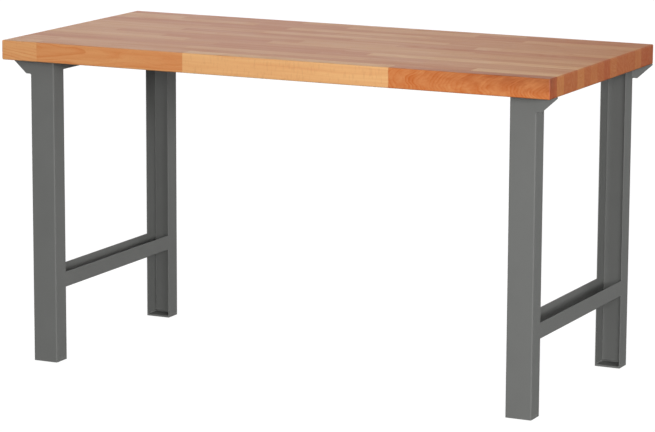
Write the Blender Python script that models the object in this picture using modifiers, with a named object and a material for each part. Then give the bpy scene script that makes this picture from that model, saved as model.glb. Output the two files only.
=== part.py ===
"""Workbench: a thick glued beech top screwed to two welded end frames of folded steel sheet.

Metres, +Z up. The origin is on the floor below the middle of the top, +X runs along the bench to the right
and the front edge of the top is at -Y. Each end frame has two channel legs that open towards each other, a
low cross rail of channel that opens upwards, and a bearer under the top, an angle whose flange hangs on the
side of the knee space. A gusset plate on each leg carries the overhanging end of the top, and a foot plate
closes each leg on the floor.
"""

import math

import bmesh
import bpy
from mathutils import Matrix

# Top
TOP_LENGTH = 1.500
TOP_DEPTH = 0.700
TOP_THICKNESS = 0.050
TOP_ARRIS = 0.003  # radius on the edges of the board
WORKING_HEIGHT = 0.840

# Folded sheet
SHEET = 0.002
INSIDE_BEND = 0.001
CHANNEL_WIDTH = 0.068  # along the bench, the same for legs, rails and bearers
LEG_DEPTH = 0.050
RAIL_DEPTH = 0.040
BEARER_DEPTH = 0.029

# Places of the frame under the top; the rear legs stand flush with the rear edge
END_OVERHANG = 0.054
FRONT_OVERHANG = 0.050
RAIL_UNDERSIDE = 0.191  # above the floor

# Plates welded to the legs
FOOT_PLATE_THICKNESS = 0.005
GUSSET_THICKNESS = 0.004
GUSSET_HEIGHT = 0.039
GUSSET_LOWER_EDGE = 0.0125
GUSSET_TIP = 0.003  # height of the blunt outer end
GUSSET_TIP_INSET = 0.001  # outer end back from the end of the top

# Coach screws that hold the top down on the bearers
SCREWS_PER_BEARER = 4
SCREW_END_DISTANCE = 0.060  # first screw from the end of the bearer
SCREW_DIAMETER = 0.008
SCREW_POINT = 0.008
WOOD_OVER_SCREW = 0.014  # from the end of the screw's hole to the working face
HEAD_ACROSS_FLATS = 0.013
HEAD_HEIGHT = 0.0055
WASHER_DIAMETER = 0.022
WASHER_THICKNESS = 0.002

# Clearances
SEAM = 0.0003  # between pieces that touch
HOLE_CLEARANCE = 0.0005  # radial, round the screws
PILOT_END_CLEARANCE = 0.002  # past the point of the screw

# Fineness of round shapes
ARRIS_SEGMENTS = 3
BEND_SEGMENTS = 4
ROUND_SIDES = 24
SHARP_ANGLE = math.radians(30)
WELD_DISTANCE = 0.000001

# Places that follow from the sizes above
TOP_UNDERSIDE = WORKING_HEIGHT - TOP_THICKNESS
FRAME_TOP = TOP_UNDERSIDE - SEAM
OUTSIDE_BEND = INSIDE_BEND + SHEET
FRAME_X = TOP_LENGTH / 2 - END_OVERHANG - CHANNEL_WIDTH / 2
FRONT_FACE = -TOP_DEPTH / 2 + FRONT_OVERHANG
REAR_FACE = TOP_DEPTH / 2
CROSS_START = FRONT_FACE + LEG_DEPTH + SEAM
CROSS_LENGTH = REAR_FACE - LEG_DEPTH - SEAM - CROSS_START
LEG_START = FOOT_PLATE_THICKNESS + SEAM
WASHER_TOP = FRAME_TOP - SHEET - SEAM
HEAD_TOP = WASHER_TOP - WASHER_THICKNESS - SEAM
HOLE_END = WORKING_HEIGHT - WOOD_OVER_SCREW
HOLE_RADIUS = SCREW_DIAMETER / 2 + HOLE_CLEARANCE
SCREW_LENGTH = HOLE_END - PILOT_END_CLEARANCE - HEAD_TOP  # under the head

SIDES = {"left": -1, "right": 1}
QUARTER_TURN = math.pi / 2


def make_collection(name):
    collection = bpy.data.collections.new(name)
    bpy.context.scene.collection.children.link(collection)
    return collection


def make_material(name, colour, roughness, metallic):
    material = bpy.data.materials.new(name)
    material.use_nodes = True
    shader = material.node_tree.nodes["Principled BSDF"]
    shader.inputs["Base Color"].default_value = (*colour, 1)
    shader.inputs["Roughness"].default_value = roughness
    shader.inputs["Metallic"].default_value = metallic
    return material


def mesh_of(shape, name):
    """Mesh from a finished bmesh, which it frees."""
    mesh = bpy.data.meshes.new(name)
    shape.to_mesh(mesh)
    shape.free()
    return mesh


def place(name, data, material, location, turn=(0, 0, 0)):
    """Object in the bench's collection, at a place and with a turn about each axis."""
    obj = bpy.data.objects.new(name, data)
    obj.location = location
    obj.rotation_euler = turn
    if not data.materials:
        data.materials.append(material)
    BENCH.objects.link(obj)
    return obj


def cut(obj, cutter):
    hole = obj.modifiers.new("Holes", "BOOLEAN")
    hole.operation = "DIFFERENCE"
    hole.solver = "EXACT"
    hole.object = cutter


def channel_section(depth):
    """Outside of a channel from the edge of one flange to the other: web at Y = 0, flanges to +Y."""
    half = CHANNEL_WIDTH / 2
    return [(half, depth), (half, 0), (-half, 0), (-half, depth)]


def folded_sheet(name, section, length, location, turn):
    """Sheet folded along local Z, whose outside follows a section."""
    shape = bmesh.new()
    corners = [shape.verts.new((x, y, 0)) for x, y in section]
    folds = [shape.edges.new(pair) for pair in zip(corners, corners[1:])]
    drawn = bmesh.ops.extrude_edge_only(shape, edges=folds)["geom"]
    far_end = [item for item in drawn if isinstance(item, bmesh.types.BMVert)]
    bmesh.ops.translate(shape, verts=far_end, vec=(0, 0, length))
    obj = place(name, mesh_of(shape, name), POWDER_COAT, location, turn)
    bend = obj.modifiers.new("Bends", "BEVEL")
    bend.width = OUTSIDE_BEND
    bend.segments = BEND_SEGMENTS
    wall = obj.modifiers.new("Sheet", "SOLIDIFY")
    wall.thickness = SHEET
    wall.offset = -1
    wall.use_even_offset = True
    return obj


def flat_piece(name, outlines, thickness):
    """Flat shape from closed outlines in its own plane; an outline inside another is a hole."""
    curve = bpy.data.curves.new(name, "CURVE")
    curve.dimensions = "2D"
    curve.fill_mode = "BOTH"
    curve.extrude = thickness / 2
    for outline in outlines:
        spline = curve.splines.new("POLY")
        spline.points.add(len(outline) - 1)
        for point, (x, y) in zip(spline.points, outline):
            point.co = (x, y, 0, 1)
        spline.use_cyclic_u = True
    return curve


def arc(centre, radius, start, end, steps):
    """Points along an arc, both ends included."""
    angles = [start + (end - start) * step / steps for step in range(steps + 1)]
    return [(centre[0] + radius * math.cos(a), centre[1] + radius * math.sin(a)) for a in angles]


def circle(radius):
    return arc((0, 0), radius, 0, math.tau * (1 - 1 / ROUND_SIDES), ROUND_SIDES - 1)


def cylinder(shape, radius, low, high, centre=(0, 0), sides=ROUND_SIDES):
    middle = Matrix.Translation((*centre, (low + high) / 2))
    bmesh.ops.create_cone(
        shape, cap_ends=True, segments=sides, radius1=radius, radius2=radius, depth=high - low, matrix=middle
    )


def joined(name, base, addition):
    """One mesh from two overlapping ones."""
    pieces = [bpy.data.objects.new(name, base), bpy.data.objects.new(name, addition)]
    for piece in pieces:
        BENCH.objects.link(piece)
    union = pieces[0].modifiers.new("Join", "BOOLEAN")
    union.operation = "UNION"
    union.solver = "EXACT"
    union.object = pieces[1]
    graph = bpy.context.evaluated_depsgraph_get()
    mesh = bpy.data.meshes.new_from_object(pieces[0].evaluated_get(graph))
    for piece in pieces:
        bpy.data.objects.remove(piece)
    return mesh


def make_top(cutters):
    shape = bmesh.new()
    bmesh.ops.create_cube(shape, size=1, matrix=Matrix.Diagonal((TOP_LENGTH, TOP_DEPTH, TOP_THICKNESS, 1)))
    top = place("worktop", mesh_of(shape, "worktop"), BEECH, (0, 0, WORKING_HEIGHT - TOP_THICKNESS / 2))
    arris = top.modifiers.new("Arris", "BEVEL")
    arris.width = TOP_ARRIS
    arris.segments = ARRIS_SEGMENTS
    for cutter in cutters:
        cut(top, cutter)


def make_legs(side, x):
    length = FRAME_TOP - LEG_START
    for end, y, turn in (("front", FRONT_FACE, 0), ("rear", REAR_FACE, math.pi)):
        folded_sheet(f"leg_{side}_{end}", channel_section(LEG_DEPTH), length, (x, y, LEG_START), (0, 0, turn))


def make_rail(side, x):
    """Low cross rail, open at the top like a tray."""
    rear_end = (x, CROSS_START + CROSS_LENGTH, RAIL_UNDERSIDE)
    folded_sheet(f"rail_{side}", channel_section(RAIL_DEPTH), CROSS_LENGTH, rear_end, (QUARTER_TURN, 0, 0))


def make_bearer(side, x, cutter):
    """Angle under the top: one side lies on the wood, the other hangs on the side of the knee space."""
    section = channel_section(BEARER_DEPTH)
    angle = section[:-1] if side == "left" else section[1:]
    front_end = (x, CROSS_START, FRAME_TOP)
    bearer = folded_sheet(f"bearer_{side}", angle, CROSS_LENGTH, front_end, (-QUARTER_TURN, 0, 0))
    cut(bearer, cutter)


def make_foot_plates(side, x):
    """Plates of the leg's own outline, with its two folds rounded."""
    half = CHANNEL_WIDTH / 2
    fold = half - OUTSIDE_BEND
    outline = [(half, LEG_DEPTH), (-half, LEG_DEPTH)]
    outline += arc((-fold, OUTSIDE_BEND), OUTSIDE_BEND, math.pi, 3 * QUARTER_TURN, BEND_SEGMENTS)
    outline += arc((fold, OUTSIDE_BEND), OUTSIDE_BEND, 3 * QUARTER_TURN, math.tau, BEND_SEGMENTS)
    middle = FOOT_PLATE_THICKNESS / 2
    for end, y, turn in (("front", FRONT_FACE, 0), ("rear", REAR_FACE, math.pi)):
        name = f"foot_plate_{side}_{end}"
        plate = flat_piece(name, [outline], FOOT_PLATE_THICKNESS)
        place(name, plate, POWDER_COAT, (x, y, middle), (0, 0, turn))


def make_gussets(side, sign):
    """Upright plates from each leg to the end of the top, flush with the leg's web and slanted below."""
    leg_side = TOP_LENGTH / 2 - END_OVERHANG + SEAM
    tip = TOP_LENGTH / 2 - GUSSET_TIP_INSET
    outline = [
        (leg_side, 0),
        (tip, 0),
        (tip, -GUSSET_TIP),
        (leg_side + GUSSET_LOWER_EDGE, -GUSSET_HEIGHT),
        (leg_side, -GUSSET_HEIGHT),
    ]
    outline = [(sign * x, z) for x, z in outline]
    middle = GUSSET_THICKNESS / 2
    for end, y in (("front", FRONT_FACE + middle), ("rear", REAR_FACE - middle)):
        name = f"gusset_{side}_{end}"
        plate = flat_piece(name, [outline], GUSSET_THICKNESS)
        place(name, plate, POWDER_COAT, (0, y, FRAME_TOP), (QUARTER_TURN, 0, 0))


def screw_places():
    """Y of each screw along a bearer."""
    first = CROSS_START + SCREW_END_DISTANCE
    last = CROSS_START + CROSS_LENGTH - SCREW_END_DISTANCE
    step = (last - first) / (SCREWS_PER_BEARER - 1)
    return [first + step * index for index in range(SCREWS_PER_BEARER)]


def make_hole_cutter(side, x):
    """Round holes for one bearer's screws, through its web and on into the wood."""
    shape = bmesh.new()
    for y in screw_places():
        cylinder(shape, HOLE_RADIUS, HEAD_TOP, HOLE_END, (x, y))
    cutter = bpy.data.objects.new(f"screw_holes_{side}", mesh_of(shape, f"screw_holes_{side}"))
    cutter.hide_render = True
    cutter.display_type = "WIRE"
    CUTTERS.objects.link(cutter)
    return cutter


def screw_mesh():
    """Coach screw with its hexagon head below Z = 0 and its point upwards."""
    head = bmesh.new()
    cylinder(head, HEAD_ACROSS_FLATS / math.sqrt(3), -HEAD_HEIGHT, 0, sides=6)
    radius = SCREW_DIAMETER / 2
    shoulder = SCREW_LENGTH - SCREW_POINT
    profile = [(0, SCREW_LENGTH), (radius, shoulder), (radius, -HEAD_HEIGHT / 2), (0, -HEAD_HEIGHT / 2)]
    shank = bmesh.new()
    points = [shank.verts.new((r, 0, z)) for r, z in profile]
    lines = [shank.edges.new(pair) for pair in zip(points, points[1:])]
    bmesh.ops.spin(shank, geom=points + lines, axis=(0, 0, 1), angle=math.tau, steps=ROUND_SIDES)
    bmesh.ops.remove_doubles(shank, verts=shank.verts, dist=WELD_DISTANCE)
    bmesh.ops.recalc_face_normals(shank, faces=shank.faces)
    screw = joined("screw", mesh_of(head, "screw_head"), mesh_of(shank, "screw_shank"))
    screw.shade_smooth()
    screw.set_sharp_from_angle(angle=SHARP_ANGLE)
    return screw


def make_screws(side, x, screw, washer):
    for number, y in enumerate(screw_places(), start=1):
        place(f"screw_{side}_{number}", screw, ZINC, (x, y, HEAD_TOP))
        place(f"washer_{side}_{number}", washer, ZINC, (x, y, WASHER_TOP - WASHER_THICKNESS / 2))


def make_bench():
    screw = screw_mesh()
    washer = flat_piece("washer", [circle(WASHER_DIAMETER / 2), circle(HOLE_RADIUS)], WASHER_THICKNESS)
    cutters = []
    for side, sign in SIDES.items():
        x = sign * FRAME_X
        cutters.append(make_hole_cutter(side, x))
        make_legs(side, x)
        make_rail(side, x)
        make_bearer(side, x, cutters[-1])
        make_foot_plates(side, x)
        make_gussets(side, sign)
        make_screws(side, x, screw, washer)
    make_top(cutters)


for old in list(bpy.data.objects):
    bpy.data.objects.remove(old)
BENCH = make_collection("Workbench")
CUTTERS = make_collection("Cutters")
CUTTERS.hide_render = True
BEECH = make_material("Oiled beech", (0.56, 0.27, 0.12), 0.45, 0)
POWDER_COAT = make_material("Grey powder coat", (0.15, 0.153, 0.15), 0.5, 0)
ZINC = make_material("Zinc-plated steel", (0.6, 0.61, 0.62), 0.35, 1)
make_bench()
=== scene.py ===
"""Looks of the workbench: a glued beech top on two welded end frames of folded, powder-coated steel sheet.

Metres, +Z up, +X along the bench, front edge at -Y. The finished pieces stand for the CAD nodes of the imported
frame and lie where they lie, and weld beads are added. The bench has no moving part, so all ride on one body.
"""

import math
import random
from dataclasses import dataclass

import bmesh
import bpy
import numpy as np
from mathutils import Matrix, Vector


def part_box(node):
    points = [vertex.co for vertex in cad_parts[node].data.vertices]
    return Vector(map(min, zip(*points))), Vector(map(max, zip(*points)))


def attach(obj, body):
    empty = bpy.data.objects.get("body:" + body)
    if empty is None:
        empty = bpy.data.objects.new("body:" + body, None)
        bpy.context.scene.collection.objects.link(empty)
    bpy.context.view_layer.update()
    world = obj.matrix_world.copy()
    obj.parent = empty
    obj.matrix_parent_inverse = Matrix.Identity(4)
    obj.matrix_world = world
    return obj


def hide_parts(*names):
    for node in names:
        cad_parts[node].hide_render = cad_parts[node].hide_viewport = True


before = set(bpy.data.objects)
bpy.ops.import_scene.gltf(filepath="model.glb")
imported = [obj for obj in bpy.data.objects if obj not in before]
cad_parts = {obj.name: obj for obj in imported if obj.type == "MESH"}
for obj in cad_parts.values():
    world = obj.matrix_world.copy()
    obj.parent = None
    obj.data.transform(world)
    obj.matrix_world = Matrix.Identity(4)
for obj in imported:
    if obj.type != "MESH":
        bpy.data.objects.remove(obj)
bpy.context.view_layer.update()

MM = 0.001
BODY = "root"

# Glued top
STAVE_ROWS = 16
STAVE_LENGTHS = (300 * MM, 560 * MM)
SHORTEST_OFFCUT = 70 * MM
JOINT_STAGGER = 60 * MM  # least distance between butt joints of neighbouring rows
GLUE_LINE = 0.15 * MM
ARRIS = 3 * MM
ARRIS_SEGMENTS = 4
STAVE_SEED = 11
STRAW, HONEY, AMBER, RUSSET, DEEP_RUSSET = 0.14, 0.42, 0.66, 0.92, 0.95  # how deep a stave's colour is
TOP_TONES = (0.36, 1.01)
PITH_DISTANCES = (70 * MM, 150 * MM)  # from the heart of the tree to the middle of a stave
RING_WIDTHS = (2.5 * MM, 5 * MM)
GRAIN_SLOPES = (0.01, 0.06)  # how far the growth rings run out of a stave, per length

# Coated steel
SHEET = 2 * MM
COATED_EDGE = 0.5 * MM  # the coat rounds the cut edges of the sheet
EDGE_SEGMENTS = 3
SAME_PLANE = math.radians(0.5)
SAME_POINT = 0.001 * MM
CUT_EDGE_ANGLE = math.radians(50)

# Welds: beads in the inside corners, flat ones on butt joints, and the outside of the gussets ground flush
BEAD_RADIUS = 2.5 * MM
BUTT_RADIUS = 1.1 * MM  # in the middle of the sheet, so that it hardly stands out of it
BEHIND_FACE = 0.03 * MM  # of a ground weld behind the faces of the legs
RIPPLE_SPACING = 2 * MM
RIPPLE_HEIGHT = 0.12
SAMPLES_PER_RIPPLE = 4
BEAD_SIDES = 8

# Coach screws
ACROSS_FLATS = 13 * MM
HEAD_HEIGHT = 5.5 * MM
HEAD_CHAMFER = 1.1 * MM
SHANK_DIAMETER = 8 * MM
POINT_LENGTH = 8 * MM
HOLE_DIAMETER = 9 * MM
WASHER_EDGE = 0.3 * MM
ROUND_SIDES = 32
SCREW_SEED = 5

# Studio
FLOOR_SIZE = 60.0
LIGHT_FROM_BELOW, LIGHT_FROM_ABOVE = 0.1, 0.35
BENCH_MIDDLE = (0, 0, 0.5)
# Name, turn from the front towards the right end and height in degrees, distance, diameter, watts
SOFTBOXES = (
    ("key", 24, 8, 13.0, 2.3, 800),
    ("near_key", 36, 13, 4.0, 1.0, 35),
    ("side", 56, 11, 13.0, 2.3, 730),
    ("left", -110, 6, 13.0, 5.8, 1500),
    ("rear_right", 140, 10, 13.0, 5.8, 200),
    ("rear_left", 211, 12, 13.0, 5.8, 127),
    ("overhead", 20, 65, 13.0, 5.8, 30),
)

# Camera at the photo's viewing angle, without a shift
CAMERA_PLACE = (3.4189, -7.0341, 1.8705)
CAMERA_TURN, CAMERA_PITCH, CAMERA_ROLL = 25.9, -10.714, -0.255  # degrees
CAMERA_LENS = 170.55
SENSOR_WIDTH = 36


def linear(colour):
    """Linear RGBA from an sRGB hex value."""
    parts = [int(colour[i:i + 2], 16) / 255 for i in (1, 3, 5)]
    parts = [p / 12.92 if p <= 0.04045 else ((p + 0.055) / 1.055) ** 2.4 for p in parts]
    return (*parts, 1.0)


def node(tree, kind, inputs=None, **settings):
    """Node of a kind with its settings; inputs maps a socket's name or number to a value or to an output."""
    made = tree.nodes.new(kind)
    for name, value in settings.items():
        setattr(made, name, value)
    for socket, value in (inputs or {}).items():
        if isinstance(value, bpy.types.NodeSocket):
            tree.links.new(value, made.inputs[socket])
        else:
            made.inputs[socket].default_value = value
    return made


def new_material(name):
    """Empty material with its tree and its output node."""
    material = bpy.data.materials.new(name)
    material.use_nodes = True
    material.node_tree.nodes.clear()
    output = material.node_tree.nodes.new("ShaderNodeOutputMaterial")
    return material, material.node_tree, output


def per_size(*millimetres):
    """Scale of a pattern whose features have these sizes along the three axes."""
    return tuple(1 / (size * MM) for size in millimetres)


def oiled_beech():
    """Planed and oiled beech, glued in staves.

    Each stave has its own depth of colour, from straw to russet, with long soft streaks, thin darker growth
    rings and short dark rays. End grain drinks more oil and is darker and redder. The attribute "fibre" holds
    a stave's own axes: along the grain, away from the heart of the tree, and round it. The attribute "heart"
    holds how far along and how far up its stave a place is, and how much brown heart wood can be there.
    """
    material, tree, output = new_material("Oiled beech")
    fibre = node(tree, "ShaderNodeAttribute", attribute_name="fibre").outputs["Vector"]
    tone = node(tree, "ShaderNodeAttribute", attribute_name="tone").outputs["Fac"]
    ring_width = node(tree, "ShaderNodeAttribute", attribute_name="ring_width").outputs["Fac"]
    axes = node(tree, "ShaderNodeSeparateXYZ", {0: fibre})

    # Growth rings round the heart, wandering by a few millimetres along the trunk, some of them faint
    wander_space = node(tree, "ShaderNodeMapping", {"Vector": fibre, "Scale": per_size(170, 42, 42)})
    wander = node(tree, "ShaderNodeTexNoise", {"Vector": wander_space.outputs[0], "Scale": 1, "Detail": 2})
    wander = node(tree, "ShaderNodeMath", {0: wander.outputs[0], 1: 16 * MM}, operation="MULTIPLY")
    across = node(tree, "ShaderNodeVectorMath", {0: fibre, 1: (0, 1, 1)}, operation="MULTIPLY")
    radius = node(tree, "ShaderNodeVectorMath", {0: across.outputs[0]}, operation="LENGTH")
    radius = radius.outputs["Value"]
    radius = node(tree, "ShaderNodeMath", {0: radius, 1: wander.outputs[0]}, operation="ADD").outputs[0]
    ring = node(tree, "ShaderNodeMath", {0: radius, 1: ring_width}, operation="DIVIDE")
    ring = node(tree, "ShaderNodeMath", {0: ring.outputs[0]}, operation="FRACT")
    late_wood = node(
        tree, "ShaderNodeMapRange", {"Value": ring.outputs[0], 1: 0.35, 2: 1.0, 3: 0.0, 4: 1.0},
        interpolation_type="SMOOTHSTEP",
    ).outputs[0]
    grain = node(tree, "ShaderNodeCombineXYZ", {0: axes.outputs[0], 1: radius, 2: axes.outputs[2]}).outputs[0]
    years_space = node(tree, "ShaderNodeMapping", {"Vector": grain, "Scale": per_size(240, 7, 40)})
    years = node(tree, "ShaderNodeTexNoise", {"Vector": years_space.outputs[0], "Scale": 1, "Detail": 1})
    years = node(
        tree, "ShaderNodeMapRange", {"Value": years.outputs[0], 1: 0.38, 2: 0.62, 3: 0.15, 4: 1.0}
    ).outputs[0]
    late_wood = node(tree, "ShaderNodeMath", {0: late_wood, 1: years}, operation="MULTIPLY").outputs[0]

    # Streaks of deeper colour, 300 mm long and 6 mm deep
    streak_space = node(tree, "ShaderNodeMapping", {"Vector": grain, "Scale": per_size(300, 6, 17)})
    streak = node(tree, "ShaderNodeTexNoise", {
        "Vector": streak_space.outputs[0],
        "Scale": 1,
        "Detail": 3,
        "Roughness": 0.6,
    }).outputs[0]

    # Rays are plates of 2 x 0.3 mm that reach 20 mm out from the heart; drawn 5 x 1.2 mm so that they show
    ray_space = node(tree, "ShaderNodeMapping", {"Vector": grain, "Scale": per_size(5, 24, 1.2)})
    ray = node(tree, "ShaderNodeTexNoise", {"Vector": ray_space.outputs[0], "Scale": 1, "Detail": 1})
    ray = node(
        tree, "ShaderNodeMapRange", {"Value": ray.outputs[0], 1: 0.53, 2: 0.70, 3: 0.0, 4: 1.0},
        interpolation_type="SMOOTHSTEP",
    ).outputs[0]

    # Depth of colour: the stave's own, plus its streaks and late wood
    depth = node(tree, "ShaderNodeMath", {0: streak, 1: 0.85, 2: tone}, operation="MULTIPLY_ADD").outputs[0]
    depth = node(tree, "ShaderNodeMath", {0: late_wood, 1: 0.26, 2: depth}, operation="MULTIPLY_ADD")
    depth = node(tree, "ShaderNodeMath", {0: depth.outputs[0], 1: 0.50}, operation="SUBTRACT").outputs[0]
    wood = node(
        tree, "ShaderNodeMix", {0: depth, 6: linear("#DCA870"), 7: linear("#C16E35")},
        data_type="RGBA", clamp_factor=False,
    )
    ray_share = node(tree, "ShaderNodeMath", {0: ray, 1: 0.11}, operation="MULTIPLY").outputs[0]
    rayed = node(
        tree, "ShaderNodeMix", {0: ray_share, 6: wood.outputs[2], 7: linear("#8E4A22")}, data_type="RGBA"
    )

    # Brown heart wood reaches into a stave in streaks, from the upper front corner of its right end
    heart = node(tree, "ShaderNodeAttribute", attribute_name="heart").outputs["Vector"]
    reach = node(tree, "ShaderNodeSeparateXYZ", {0: heart}).outputs
    stain = node(tree, "ShaderNodeMath", {0: reach[0], 1: reach[1]}, operation="MULTIPLY").outputs[0]
    stain = node(tree, "ShaderNodeMath", {0: stain, 1: reach[2]}, operation="MULTIPLY").outputs[0]
    stain = node(tree, "ShaderNodeMath", {0: stain, 1: streak}, operation="MULTIPLY").outputs[0]
    stained = node(
        tree, "ShaderNodeMix", {0: stain, 6: rayed.outputs[2], 7: linear("#7A3310")}, data_type="RGBA"
    )

    # End grain, on the faces across the fibres
    normal = node(tree, "ShaderNodeNewGeometry").outputs["Normal"]
    along = node(tree, "ShaderNodeVectorMath", {0: normal}, operation="ABSOLUTE")
    along = node(tree, "ShaderNodeSeparateXYZ", {0: along.outputs[0]})
    end_grain = node(
        tree, "ShaderNodeMapRange", {"Value": along.outputs[0], 1: 0.2, 2: 0.65, 3: 0.0, 4: 1.0},
        interpolation_type="SMOOTHSTEP",
    ).outputs[0]
    soaked = node(
        tree, "ShaderNodeMix", {0: end_grain, 6: stained.outputs[2], 7: linear("#D2AE88")},
        data_type="RGBA", blend_type="MULTIPLY",
    )

    roughness = node(tree, "ShaderNodeMapRange", {"Value": streak, 1: 0.3, 2: 0.7, 3: 0.44, 4: 0.56})
    relief = node(tree, "ShaderNodeMath", {0: late_wood, 1: ray}, operation="SUBTRACT").outputs[0]
    bump = node(tree, "ShaderNodeBump", {"Height": relief, "Strength": 0.4, "Distance": 0.06 * MM})
    shader = node(tree, "ShaderNodeBsdfPrincipled", {
        "Base Color": soaked.outputs[2],
        "Roughness": roughness.outputs[0],
        "IOR": 1.48,
        "Normal": bump.outputs[0],
    })
    tree.links.new(shader.outputs[0], output.inputs[0])
    return material


def grey_powder_coat():
    """Powder coat baked on steel sheet: satin mid grey with a fine orange peel and hardly any mottle."""
    material, tree, output = new_material("Grey powder coat")
    place = node(tree, "ShaderNodeTexCoord").outputs["Object"]
    # Film thickness changes over a hand's width and shifts the grey a little
    film = node(tree, "ShaderNodeTexNoise", {"Vector": place, "Scale": per_size(70)[0], "Detail": 2})
    colour = node(
        tree, "ShaderNodeMix", {0: film.outputs[0], 6: linear("#616260"), 7: linear("#676866")},
        data_type="RGBA",
    )
    # Orange peel has dimples of 1 to 2 mm; drawn 2.5 mm wide so that they show
    peel = node(tree, "ShaderNodeTexNoise", {"Vector": place, "Scale": per_size(2.5)[0], "Detail": 1})
    peel = peel.outputs[0]
    roughness = node(tree, "ShaderNodeMapRange", {"Value": peel, 1: 0.3, 2: 0.7, 3: 0.64, 4: 0.74})
    bump = node(tree, "ShaderNodeBump", {"Height": peel, "Strength": 0.5, "Distance": 0.05 * MM})
    shader = node(tree, "ShaderNodeBsdfPrincipled", {
        "Base Color": colour.outputs[2],
        "Roughness": roughness.outputs[0],
        "IOR": 1.5,
        "Normal": bump.outputs[0],
    })
    tree.links.new(shader.outputs[0], output.inputs[0])
    return material


def bright_zinc():
    """Zinc plate on forged screws and stamped washers: bright, a little blue and cloudy."""
    material, tree, output = new_material("Bright zinc plate")
    place = node(tree, "ShaderNodeTexCoord").outputs["Object"]
    # The passivation layer varies in clouds of 4 mm
    cloud = node(tree, "ShaderNodeTexNoise", {"Vector": place, "Scale": per_size(4)[0], "Detail": 3})
    cloud = cloud.outputs[0]
    colour = node(
        tree, "ShaderNodeMix", {0: cloud, 6: linear("#B9C2CC"), 7: linear("#D2CFC2")}, data_type="RGBA"
    )
    roughness = node(tree, "ShaderNodeMapRange", {"Value": cloud, 1: 0.3, 2: 0.7, 3: 0.26, 4: 0.42})
    # Forging scale under the plate, in grains of 0.8 mm
    grit = node(tree, "ShaderNodeTexNoise", {"Vector": place, "Scale": per_size(0.8)[0], "Detail": 1})
    bump = node(tree, "ShaderNodeBump", {"Height": grit.outputs[0], "Strength": 0.3, "Distance": 0.04 * MM})
    shader = node(tree, "ShaderNodeBsdfPrincipled", {
        "Base Color": colour.outputs[2],
        "Metallic": 1.0,
        "Roughness": roughness.outputs[0],
        "Normal": bump.outputs[0],
    })
    tree.links.new(shader.outputs[0], output.inputs[0])
    return material


def lit_paper():
    """White studio paper, lit so brightly that only a soft shade is left under the bench."""
    material, tree, output = new_material("White studio paper")
    place = node(tree, "ShaderNodeTexCoord").outputs["Object"]
    tooth = node(tree, "ShaderNodeTexNoise", {"Vector": place, "Scale": per_size(900)[0], "Detail": 1})
    roughness = node(tree, "ShaderNodeMapRange", {"Value": tooth.outputs[0], 3: 0.85, 4: 0.95})
    shader = node(tree, "ShaderNodeBsdfPrincipled", {
        "Base Color": linear("#606060"),
        "Roughness": roughness.outputs[0],
        "Specular IOR Level": 0.0,
        "Emission Color": linear("#FFFFFF"),
        "Emission Strength": 0.95,
    })
    tree.links.new(shader.outputs[0], output.inputs[0])
    return material


def add_object(name, mesh):
    piece = bpy.data.objects.new(name, mesh)
    bpy.context.scene.collection.objects.link(piece)
    return piece


def point_mesh(name, points, edges=()):
    mesh = bpy.data.meshes.new(name)
    mesh.from_pydata([tuple(p) for p in points], edges, [])
    return mesh


def make_plain(piece):
    """Makes what the piece's modifiers give its own plain mesh, and removes them."""
    graph = bpy.context.evaluated_depsgraph_get()
    mesh = bpy.data.meshes.new_from_object(piece.evaluated_get(graph))
    piece.modifiers.clear()
    piece.data = mesh
    mesh.name = piece.name


def smooth_shade(piece):
    """Smooth shading that keeps flat faces flat and cut edges sharp."""
    piece.data.shade_smooth()
    piece.data.set_sharp_from_angle(angle=CUT_EDGE_ANGLE)
    normals = piece.modifiers.new("Even shading", "WEIGHTED_NORMAL")
    normals.keep_sharp = True
    make_plain(piece)


def carry(piece, slot, *nodes):
    """Lets the piece ride on the bench and stand for CAD nodes; slot is not used."""
    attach(piece, BODY)
    if nodes:
        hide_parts(*nodes)


def new_tree(name, inputs):
    """Geometry Nodes tree with named inputs, its first nodes and its way out through a material."""
    tree = bpy.data.node_groups.new(name, "GeometryNodeTree")
    for label, kind in {"Geometry": "Geometry", **inputs, "Material": "Material"}.items():
        tree.interface.new_socket(label, in_out="INPUT", socket_type="NodeSocket" + kind)
    tree.interface.new_socket("Geometry", in_out="OUTPUT", socket_type="NodeSocketGeometry")
    return tree, tree.nodes.new("NodeGroupInput").outputs


def end_tree(tree, given, geometry):
    """Last nodes of every tree: real mesh instead of instances, and its material."""
    real = node(tree, "GeometryNodeRealizeInstances", {0: geometry})
    coated = node(tree, "GeometryNodeSetMaterial", {0: real.outputs[0], "Material": given["Material"]})
    node(tree, "NodeGroupOutput", {0: coated.outputs[0]})


def grow(piece, tree, values):
    """Runs a tree on the piece with these values for its named inputs."""
    modifier = piece.modifiers.new(tree.name, "NODES")
    modifier.node_group = tree
    for socket in tree.interface.items_tree:
        if socket.in_out == "INPUT" and socket.name in values:
            modifier[socket.identifier] = values[socket.name]


@dataclass
class Stave:
    """One glued strip of the top: its row, where it starts and ends, its colour and the lie of its rings.

    turn is the direction from the heart of the tree to the stave, from +Y towards +Z, slope is how far the
    growth rings run out of it along its length, pith is how far away the heart is, and heart is how much
    brown heart wood it has.
    """

    row: int
    start: float
    end: float
    tone: float
    turn: float
    slope: float
    pith: float
    ring_width: float
    heart: float = 0.0


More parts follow.
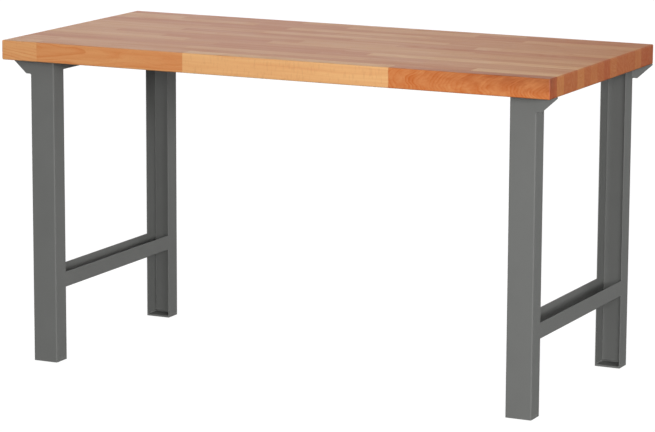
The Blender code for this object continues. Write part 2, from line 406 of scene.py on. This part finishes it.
def front_staves(left, right):
    """The four staves of the front edge, as the photo shows their joints, colours and figure."""
    joints = [left, left + 103 * MM, left + 522 * MM, left + 1083 * MM, right]
    # Tone, turn, slope, distance from the heart, ring width, heart wood
    looks = [
        (HONEY, math.radians(50), 0.14, 90 * MM, 6.5 * MM, 0.0),
        (AMBER, math.radians(-8), 0.03, 70 * MM, 4.5 * MM, 0.0),
        (STRAW, math.radians(88), 0.015, 140 * MM, 3 * MM, 0.0),
        (DEEP_RUSSET, math.radians(6), -0.24, 110 * MM, 2.6 * MM, 1.3),
    ]
    return [Stave(0, *ends, *look) for ends, look in zip(zip(joints, joints[1:]), looks)]


def row_joints(chance, left, right, neighbours):
    """Butt joints of one row, clear of those in the row before it."""
    while True:
        joints = [left]
        joints.append(left + chance.uniform(SHORTEST_OFFCUT, STAVE_LENGTHS[1]))
        while right - joints[-1] > STAVE_LENGTHS[1]:
            joints.append(joints[-1] + chance.uniform(*STAVE_LENGTHS))
        joints.append(right)
        inner = joints[1:-1]
        clear = all(abs(a - b) > JOINT_STAGGER for a in inner for b in neighbours)
        if clear and right - joints[-2] > SHORTEST_OFFCUT:
            return joints


def lay_staves(left, right):
    """All staves of the top, row by row from the front edge."""
    chance = random.Random(STAVE_SEED)
    # Colours of the last staves, which show on the right end
    end_tones = [
        RUSSET, STRAW, AMBER, AMBER, STRAW, AMBER, HONEY, AMBER,
        RUSSET, HONEY, AMBER, AMBER, AMBER, HONEY, RUSSET, RUSSET,
    ]
    staves = front_staves(left, right)
    joints = [stave.start for stave in staves[1:]]
    for row in range(1, STAVE_ROWS):
        ends = row_joints(chance, left, right, joints)
        joints = ends[1:-1]
        for start, end in zip(ends, ends[1:]):
            tone = chance.uniform(*TOP_TONES)
            if end == right:
                tone = end_tones[row]
            turn = chance.uniform(0, math.tau)
            slope = chance.uniform(*GRAIN_SLOPES) * chance.choice((-1, 1))
            pith, ring_width = chance.uniform(*PITH_DISTANCES), chance.uniform(*RING_WIDTHS)
            staves.append(Stave(row, start, end, tone, turn, slope, pith, ring_width))
    return staves


def glued_board_tree():
    """Staves of their own length side by side, with the outer edges of the board marked for the arris."""
    tree, given = new_tree("Glued board", {"Board Middle": "Vector", "Board Half Size": "Vector"})
    size = node(tree, "GeometryNodeInputNamedAttribute", {"Name": "size"}, data_type="FLOAT_VECTOR")
    strip = node(tree, "GeometryNodeMeshCube", {"Size": (1, 1, 1)})
    laid = node(tree, "GeometryNodeInstanceOnPoints", {
        "Points": given["Geometry"],
        "Instance": strip.outputs[0],
        "Scale": size.outputs[0],
    })
    real = node(tree, "GeometryNodeRealizeInstances", {0: laid.outputs[0]})

    # An edge of the board lies on two of its outer planes, so that the signs add up to one
    place = node(tree, "GeometryNodeInputPosition").outputs[0]
    middle = node(tree, "ShaderNodeVectorMath", {0: place, 1: given["Board Middle"]}, operation="SUBTRACT")
    reach = node(tree, "ShaderNodeVectorMath", {0: middle.outputs[0]}, operation="ABSOLUTE").outputs[0]
    beyond = node(tree, "ShaderNodeVectorMath", {0: reach, 1: given["Board Half Size"]}, operation="SUBTRACT")
    sign = node(tree, "ShaderNodeVectorMath", {0: beyond.outputs[0]}, operation="SIGN")
    planes = node(tree, "ShaderNodeVectorMath", {0: sign.outputs[0], 1: (1, 1, 1)}, operation="DOT_PRODUCT")
    outer = node(
        tree, "FunctionNodeCompare", {0: planes.outputs["Value"], 1: 0.0},
        data_type="FLOAT", operation="GREATER_THAN",
    )
    marked = node(
        tree, "GeometryNodeStoreNamedAttribute",
        {"Geometry": real.outputs[0], "Name": "bevel_weight_edge", "Value": outer.outputs[0]},
        data_type="FLOAT", domain="EDGE",
    )
    end_tree(tree, given, marked.outputs[0])
    return tree


def make_worktop(beech):
    low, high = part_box("worktop")
    width = (high.y - low.y) / STAVE_ROWS
    thickness = high.z - low.z
    staves = lay_staves(low.x, high.x)
    middles = np.array([
        ((s.start + s.end) / 2, low.y + (s.row + 0.5) * width, (low.z + high.z) / 2) for s in staves
    ])
    sizes = np.array([(s.end - s.start - GLUE_LINE, width - GLUE_LINE, thickness) for s in staves])

    strips = point_mesh("worktop_staves", middles)
    strips.attributes.new("size", "FLOAT_VECTOR", "POINT").data.foreach_set("vector", sizes.ravel())
    strips.attributes.new("stave", "INT", "POINT").data.foreach_set("value", np.arange(len(staves)))
    top = add_object("worktop_staves", strips)
    grow(top, glued_board_tree(), {
        "Board Middle": (low + high) / 2,
        "Board Half Size": (high - low) / 2 - Vector((GLUE_LINE,) * 3),
        "Material": beech,
    })
    arris = top.modifiers.new("Arris", "BEVEL")
    arris.limit_method = "WEIGHT"
    arris.width = ARRIS
    arris.segments = ARRIS_SEGMENTS
    make_plain(top)

    # Each stave's own axes for its grain: along it, away from the heart of the tree, and round the heart
    mesh = top.data
    count = len(mesh.vertices)
    number = np.zeros(count, dtype=np.int32)
    mesh.attributes["stave"].data.foreach_get("value", number)
    place = np.zeros(count * 3, dtype=np.float32)
    mesh.vertices.foreach_get("co", place)
    along, back, up = (place.reshape(-1, 3) - middles[number]).T
    looks = np.array([(s.turn, s.slope, s.pith, s.tone, s.ring_width, s.heart) for s in staves])
    turn, slope, pith, tone, ring_width, heart = looks[number].T
    outwards = pith + back * np.cos(turn) + up * np.sin(turn) + slope * along
    around = up * np.cos(turn) - back * np.sin(turn)
    fibre = np.stack([along + number * 1.7, outwards, around], axis=1)
    mesh.attributes.new("fibre", "FLOAT_VECTOR", "POINT").data.foreach_set("vector", fibre.ravel())
    # Heart wood grows from none to all along and up its stave, and from the back of it to the front
    reach = np.stack([along / sizes[number, 0], up / thickness, -back / width], axis=1) + 0.5
    reach[:, 2] *= heart
    mesh.attributes.new("heart", "FLOAT_VECTOR", "POINT").data.foreach_set("vector", reach.ravel())
    mesh.attributes.new("tone", "FLOAT", "POINT").data.foreach_set("value", tone)
    mesh.attributes.new("ring_width", "FLOAT", "POINT").data.foreach_set("value", ring_width)
    smooth_shade(top)
    carry(top, "beech", "worktop")


def make_coated_steel(coat):
    """Channels and plates of the end frames, with the cut edges of their sheet rounded by the coat."""
    kinds = ("leg_", "rail_", "bearer_", "foot_plate_", "gusset_")
    for name in sorted(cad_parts):
        if not name.startswith(kinds):
            continue
        shape = bmesh.new()
        shape.from_mesh(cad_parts[name].data)
        bmesh.ops.remove_doubles(shape, verts=shape.verts, dist=SAME_POINT)
        bmesh.ops.dissolve_limit(shape, angle_limit=SAME_PLANE, verts=shape.verts, edges=shape.edges)
        mesh = bpy.data.meshes.new(name + "_coated")
        shape.to_mesh(mesh)
        shape.free()
        mesh.materials.append(coat)
        piece = add_object(name + "_coated", mesh)
        edges = piece.modifiers.new("Coated edges", "BEVEL")
        edges.limit_method = "ANGLE"
        edges.angle_limit = CUT_EDGE_ANGLE
        edges.width = COATED_EDGE
        edges.segments = EDGE_SEGMENTS
        make_plain(piece)
        smooth_shade(piece)
        carry(piece, "powder_coat", name)


def weld_tree():
    """Rippled bead with domed ends along each seam, ground flush where it would stand out of the legs."""
    tree, given = new_tree("Weld beads", {
        "Ripple Spacing": "Float", "Ripple Height": "Float", "Front Face": "Float", "Rear Face": "Float",
    })
    bead_size = node(tree, "GeometryNodeInputNamedAttribute", {"Name": "bead"}, data_type="FLOAT").outputs[0]
    seams = node(tree, "GeometryNodeMeshToCurve", {0: given["Geometry"]})
    corner = node(tree, "ShaderNodeMath", {0: bead_size, 1: 1.5}, operation="MULTIPLY")
    turned = node(
        tree, "GeometryNodeFilletCurve",
        {"Curve": seams.outputs[0], "Radius": corner.outputs[0], "Limit Radius": True, "Count": 4},
        mode="POLY",
    )
    step = node(
        tree, "ShaderNodeMath", {0: given["Ripple Spacing"], 1: SAMPLES_PER_RIPPLE}, operation="DIVIDE"
    )
    path = node(
        tree, "GeometryNodeResampleCurve", {"Curve": turned.outputs[0], "Length": step.outputs[0]},
        mode="LENGTH",
    )

    # Ripples left by the torch
    run = node(tree, "GeometryNodeSplineParameter").outputs["Length"]
    phase = node(tree, "ShaderNodeMath", {0: run, 1: given["Ripple Spacing"]}, operation="DIVIDE")
    phase = node(tree, "ShaderNodeMath", {0: phase.outputs[0], 1: math.tau}, operation="MULTIPLY")
    wave = node(tree, "ShaderNodeMath", {0: phase.outputs[0]}, operation="SINE")
    ripple = node(
        tree, "ShaderNodeMath", {0: wave.outputs[0], 1: given["Ripple Height"], 2: 1.0},
        operation="MULTIPLY_ADD",
    )

    # Domed ends: over the last bead radius the section follows a quarter circle, and ends just above nothing
    whole = node(tree, "GeometryNodeSplineLength").outputs["Length"]
    rest = node(tree, "ShaderNodeMath", {0: whole, 1: run}, operation="SUBTRACT")
    to_end = node(tree, "ShaderNodeMath", {0: run, 1: rest.outputs[0]}, operation="MINIMUM")
    dome = node(
        tree, "ShaderNodeMath", {0: to_end.outputs[0], 1: bead_size}, operation="DIVIDE", use_clamp=True
    )
    dome = node(tree, "ShaderNodeMath", {0: 1.0, 1: dome.outputs[0]}, operation="SUBTRACT")
    dome = node(tree, "ShaderNodeMath", {0: dome.outputs[0], 1: 2.0}, operation="POWER")
    dome = node(tree, "ShaderNodeMath", {0: 1.04, 1: dome.outputs[0]}, operation="SUBTRACT")
    dome = node(tree, "ShaderNodeMath", {0: dome.outputs[0]}, operation="SQRT")
    swell = node(tree, "ShaderNodeMath", {0: ripple.outputs[0], 1: dome.outputs[0]}, operation="MULTIPLY")
    swell = node(tree, "ShaderNodeMath", {0: swell.outputs[0], 1: bead_size}, operation="MULTIPLY")
    section = node(tree, "GeometryNodeCurvePrimitiveCircle", {"Resolution": BEAD_SIDES, "Radius": 1.0})
    bead = node(tree, "GeometryNodeCurveToMesh", {
        "Curve": path.outputs[0],
        "Profile Curve": section.outputs[0],
        "Scale": swell.outputs[0],
        "Fill Caps": True,
    })

    # Ground flush between the front and the rear faces of the legs
    position = node(tree, "GeometryNodeInputPosition").outputs[0]
    place = node(tree, "ShaderNodeSeparateXYZ", {0: position}).outputs
    level = node(
        tree, "ShaderNodeClamp", {"Value": place[1], "Min": given["Front Face"], "Max": given["Rear Face"]}
    )
    flush = node(tree, "ShaderNodeCombineXYZ", {0: place[0], 1: level.outputs[0], 2: place[2]}).outputs[0]
    ground = node(tree, "GeometryNodeSetPosition", {"Geometry": bead.outputs[0], "Position": flush})
    end_tree(tree, given, ground.outputs[0])
    return tree


def foot_seam(side, end):
    """Inside the leg, round its three walls on the foot plate."""
    low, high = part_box(f"leg_{side}_{end}")
    near, far = (high.y, low.y) if end == "front" else (low.y, high.y)
    web = far + SHEET if end == "front" else far - SHEET
    left, right = low.x + SHEET, high.x - SHEET
    return [(left, near, low.z), (left, web, low.z), (right, web, low.z), (right, near, low.z)]


def cross_seams(name):
    """Up the middle of a rail's two walls or a bearer's one, where their ends butt against the legs."""
    low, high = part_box(name)
    walls = [low.x + SHEET / 2, high.x - SHEET / 2]
    if name == "bearer_left":
        walls = walls[1:]
    if name == "bearer_right":
        walls = walls[:1]
    bottom, top = low.z + BEAD_RADIUS, high.z - BEAD_RADIUS
    return [[(x, y, bottom), (x, y, top)] for x in walls for y in (low.y, high.y)]


def gusset_seams(side, end):
    """Up both faces of a gusset, on the side of its leg. The outer one fills the groove at the leg's fold."""
    low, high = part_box(f"gusset_{side}_{end}")
    seam = high.x if side == "left" else low.x
    groove = seam + SHEET / 2 if side == "left" else seam - SHEET / 2
    inner, outer = (high.y, low.y) if end == "front" else (low.y, high.y)
    return [
        [(seam, inner, low.z + BEAD_RADIUS), (seam, inner, high.z)],
        [(groove, outer, low.z - BEAD_RADIUS / 2), (groove, outer, high.z)],
    ]


def make_welds(coat):
    butts, corners = [], []
    for side in ("left", "right"):
        butts += cross_seams(f"rail_{side}") + cross_seams(f"bearer_{side}")
        for end in ("front", "rear"):
            corners.append(foot_seam(side, end))
            corners += gusset_seams(side, end)
    points, edges, beads = [], [], []
    for seams, bead in ((butts, BUTT_RADIUS), (corners, BEAD_RADIUS)):
        for seam in seams:
            first = len(points)
            points += seam
            edges += [(first + i, first + i + 1) for i in range(len(seam) - 1)]
            beads += [bead] * len(seam)
    lines = point_mesh("weld_beads", points, edges)
    lines.attributes.new("bead", "FLOAT", "POINT").data.foreach_set("value", beads)
    welds = add_object("weld_beads", lines)
    grow(welds, weld_tree(), {
        "Ripple Spacing": RIPPLE_SPACING,
        "Ripple Height": RIPPLE_HEIGHT,
        "Front Face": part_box("leg_left_front")[0].y + BEHIND_FACE,
        "Rear Face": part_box("leg_left_rear")[1].y - BEHIND_FACE,
        "Material": coat,
    })
    make_plain(welds)
    welds.data.shade_smooth()
    carry(welds, "powder_coat")


def coach_screw_tree():
    """Hexagon coach screws with a chamfered head, each turned as it was driven."""
    tree, given = new_tree("Coach screws", {
        "Across Flats": "Float", "Head Height": "Float", "Chamfer": "Float",
        "Shank Diameter": "Float", "Shank Length": "Float", "Point Length": "Float", "Seed": "Int",
    })
    # Head below Z = 0: a hexagon cut by a cone
    corner = node(tree, "ShaderNodeMath", {0: given["Across Flats"], 1: math.sqrt(3)}, operation="DIVIDE")
    hexagon = node(tree, "GeometryNodeMeshCylinder", {
        "Vertices": 6, "Radius": corner.outputs[0], "Depth": given["Head Height"],
    })
    face = node(tree, "ShaderNodeMath", {0: corner.outputs[0], 1: given["Chamfer"]}, operation="SUBTRACT")
    slope = node(
        tree, "ShaderNodeMath", {0: given["Head Height"], 1: math.sqrt(3), 2: face.outputs[0]},
        operation="MULTIPLY_ADD",
    )
    cone = node(tree, "GeometryNodeMeshCone", {
        "Vertices": ROUND_SIDES, "Radius Top": slope.outputs[0], "Radius Bottom": face.outputs[0],
        "Depth": given["Head Height"],
    })
    half = node(tree, "ShaderNodeMath", {0: given["Head Height"], 1: -0.5}, operation="MULTIPLY")
    below = node(tree, "ShaderNodeCombineXYZ", {2: half.outputs[0]})
    cone_low = node(tree, "ShaderNodeMath", {0: given["Head Height"], 1: -1.0}, operation="MULTIPLY")
    cone_below = node(tree, "ShaderNodeCombineXYZ", {2: cone_low.outputs[0]})
    hexagon = node(tree, "GeometryNodeTransform", {0: hexagon.outputs[0], "Translation": below.outputs[0]})
    cone = node(tree, "GeometryNodeTransform", {0: cone.outputs[0], "Translation": cone_below.outputs[0]})
    head = node(tree, "GeometryNodeMeshBoolean", {}, operation="INTERSECT", solver="EXACT")
    tree.links.new(cone.outputs[0], head.inputs["Mesh"])
    tree.links.new(hexagon.outputs[0], head.inputs["Mesh"])

    # Shank upwards from the head, with its point
    radius = node(tree, "ShaderNodeMath", {0: given["Shank Diameter"], 1: 0.5}, operation="MULTIPLY")
    straight = node(
        tree, "ShaderNodeMath", {0: given["Shank Length"], 1: given["Point Length"]}, operation="SUBTRACT"
    )
    shank = node(tree, "GeometryNodeMeshCylinder", {
        "Vertices": ROUND_SIDES, "Radius": radius.outputs[0], "Depth": straight.outputs[0],
    })
    lift = node(tree, "ShaderNodeMath", {0: straight.outputs[0], 1: 0.5}, operation="MULTIPLY")
    lifted = node(tree, "ShaderNodeCombineXYZ", {2: lift.outputs[0]})
    shank = node(tree, "GeometryNodeTransform", {0: shank.outputs[0], "Translation": lifted.outputs[0]})
    point = node(tree, "GeometryNodeMeshCone", {
        "Vertices": ROUND_SIDES, "Radius Top": 0.0, "Radius Bottom": radius.outputs[0],
        "Depth": given["Point Length"],
    })
    raised = node(tree, "ShaderNodeCombineXYZ", {2: straight.outputs[0]})
    point = node(tree, "GeometryNodeTransform", {0: point.outputs[0], "Translation": raised.outputs[0]})
    screw = node(tree, "GeometryNodeJoinGeometry")
    for part in (head, shank, point):
        tree.links.new(part.outputs[0], screw.inputs[0])

    turn = node(tree, "FunctionNodeRandomValue", {"Seed": given["Seed"]}, data_type="FLOAT")
    turn.inputs[2].default_value = 0.0
    turn.inputs[3].default_value = math.tau
    turned = node(tree, "ShaderNodeCombineXYZ", {2: turn.outputs[1]})
    placed = node(tree, "GeometryNodeInstanceOnPoints", {
        "Points": given["Geometry"], "Instance": screw.outputs[0], "Rotation": turned.outputs[0],
    })
    end_tree(tree, given, placed.outputs[0])
    return tree


def washer_tree():
    """Flat round washers with a softened edge."""
    tree, given = new_tree("Washers", {
        "Diameter": "Float", "Hole": "Float", "Thickness": "Float", "Edge Radius": "Float",
    })
    total = node(tree, "ShaderNodeMath", {0: given["Diameter"], 1: given["Hole"]}, operation="ADD")
    middle = node(tree, "ShaderNodeMath", {0: total.outputs[0], 1: 0.25}, operation="MULTIPLY")
    spread = node(tree, "ShaderNodeMath", {0: given["Diameter"], 1: given["Hole"]}, operation="SUBTRACT")
    width = node(tree, "ShaderNodeMath", {0: spread.outputs[0], 1: 0.5}, operation="MULTIPLY")
    ring = node(tree, "GeometryNodeCurvePrimitiveCircle", {
        "Resolution": ROUND_SIDES, "Radius": middle.outputs[0],
    }).outputs[0]
    band = node(tree, "GeometryNodeCurvePrimitiveQuadrilateral", {
        "Width": width.outputs[0], "Height": given["Thickness"],
    }).outputs[0]
    band = node(
        tree, "GeometryNodeFilletCurve", {"Curve": band, "Radius": given["Edge Radius"], "Count": 3},
        mode="POLY",
    ).outputs[0]
    washer = node(tree, "GeometryNodeCurveToMesh", {"Curve": ring, "Profile Curve": band})
    placed = node(
        tree, "GeometryNodeInstanceOnPoints", {"Points": given["Geometry"], "Instance": washer.outputs[0]}
    )
    end_tree(tree, given, placed.outputs[0])
    return tree


def make_fasteners(zinc):
    screws = sorted(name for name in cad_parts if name.startswith("screw_"))
    washers = sorted(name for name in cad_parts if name.startswith("washer_"))
    boxes = [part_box(name) for name in screws]
    seats = [((low.x + high.x) / 2, (low.y + high.y) / 2, low.z + HEAD_HEIGHT) for low, high in boxes]
    length = boxes[0][1].z - seats[0][2]
    piece = add_object("coach_screws", point_mesh("coach_screws", seats))
    grow(piece, coach_screw_tree(), {
        "Across Flats": ACROSS_FLATS,
        "Head Height": HEAD_HEIGHT,
        "Chamfer": HEAD_CHAMFER,
        "Shank Diameter": SHANK_DIAMETER,
        "Shank Length": length,
        "Point Length": POINT_LENGTH,
        "Seed": SCREW_SEED,
        "Material": zinc,
    })
    make_plain(piece)
    smooth_shade(piece)
    carry(piece, "zinc", *screws)

    boxes = [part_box(name) for name in washers]
    piece = add_object("washers", point_mesh("washers", [(low + high) / 2 for low, high in boxes]))
    grow(piece, washer_tree(), {
        "Diameter": boxes[0][1].x - boxes[0][0].x,
        "Hole": HOLE_DIAMETER,
        "Thickness": boxes[0][1].z - boxes[0][0].z,
        "Edge Radius": WASHER_EDGE,
        "Material": zinc,
    })
    make_plain(piece)
    smooth_shade(piece)
    carry(piece, "zinc", *washers)


def make_studio():
    """White floor without end, faint light from all round, and softboxes that light the bench."""
    shape = bmesh.new()
    bmesh.ops.create_grid(shape, x_segments=8, y_segments=8, size=FLOOR_SIZE / 2)
    mesh = bpy.data.meshes.new("floor")
    shape.to_mesh(mesh)
    shape.free()
    mesh.materials.append(lit_paper())
    floor = add_object("floor", mesh)
    # The paper is bright to the eye, but the softboxes alone light the bench
    floor.visible_diffuse = False
    floor.visible_glossy = False

    world = bpy.data.worlds.new("Studio")
    bpy.context.scene.world = world
    world.use_nodes = True
    tree = world.node_tree
    tree.nodes.clear()
    direction = node(tree, "ShaderNodeTexCoord").outputs["Generated"]
    height = node(tree, "ShaderNodeSeparateXYZ", {0: direction}).outputs[2]
    strength = node(tree, "ShaderNodeMapRange", {
        "Value": height, 1: -0.02, 2: 0.02, 3: LIGHT_FROM_BELOW, 4: LIGHT_FROM_ABOVE,
    })
    sky = node(tree, "ShaderNodeBackground", {"Color": linear("#FFFFFF"), "Strength": strength.outputs[0]})
    node(tree, "ShaderNodeOutputWorld", {0: sky.outputs[0]})

    for name, turn, height, distance, size, power in SOFTBOXES:
        lamp = bpy.data.lights.new(name, "AREA")
        lamp.shape = "DISK"
        lamp.size = size
        lamp.energy = power
        box = bpy.data.objects.new(name, lamp)
        turned = Matrix.Rotation(math.radians(turn), 3, "Z") @ Matrix.Rotation(-math.radians(height), 3, "X")
        towards = turned @ Vector((0, -1, 0))
        box.location = Vector(BENCH_MIDDLE) + towards * distance
        box.rotation_euler = (-towards).to_track_quat("-Z", "Y").to_euler()
        bpy.context.scene.collection.objects.link(box)
    bpy.context.scene.view_settings.view_transform = "Standard"


def make_camera():
    data = bpy.data.cameras.new("camera")
    data.lens = CAMERA_LENS
    data.sensor_width = SENSOR_WIDTH
    camera = bpy.data.objects.new("camera", data)
    turn = Matrix.Rotation(math.radians(CAMERA_TURN), 4, "Z")
    pitch = Matrix.Rotation(math.radians(90 + CAMERA_PITCH), 4, "X")
    roll = Matrix.Rotation(math.radians(-CAMERA_ROLL), 4, "Z")
    camera.matrix_world = Matrix.Translation(CAMERA_PLACE) @ turn @ pitch @ roll
    bpy.context.scene.collection.objects.link(camera)
    bpy.context.scene.camera = camera


coat = grey_powder_coat()
make_worktop(oiled_beech())
make_coated_steel(coat)
make_welds(coat)
make_fasteners(bright_zinc())
make_studio()
make_camera()
